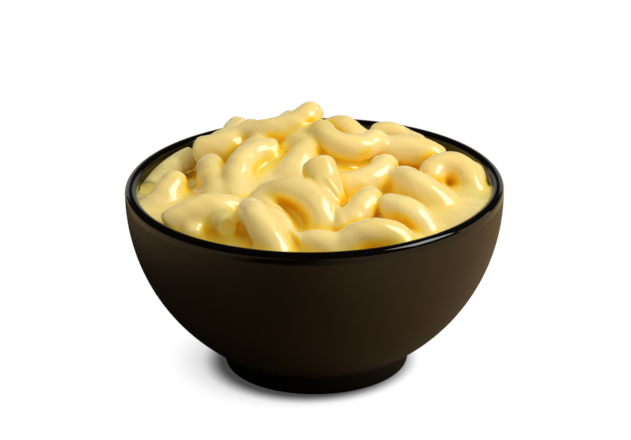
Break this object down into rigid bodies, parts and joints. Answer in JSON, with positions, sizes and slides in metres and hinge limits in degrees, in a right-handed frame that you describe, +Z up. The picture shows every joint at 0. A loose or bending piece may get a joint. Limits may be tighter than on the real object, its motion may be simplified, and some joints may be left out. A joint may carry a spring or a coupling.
{
  "type": "bowl of macaroni and cheese",
  "caption": "Elbow macaroni in thick cheese sauce, heaped above the rim of a round, footed, dark glazed bowl.",
  "frame": {"origin": "centre of the foot ring's resting face", "axes": "+Z up along the bowl's axis, -Y towards the shown front of the heap, +X to its right"},
  "size_m": [0.14, 0.14, 0.0912],
  "materials": {
    "bowl_glaze": "dark brown-black glaze, satin on the body and mirror-glossy on the lip",
    "cheese_pasta": "soft boiled pasta coated in glossy, translucent yellow cheese sauce"
  },
  "bodies": {
    "root": {"bowl": "bowl_glaze", "mac_and_cheese": "cheese_pasta"}
  },
  "joints": []
}
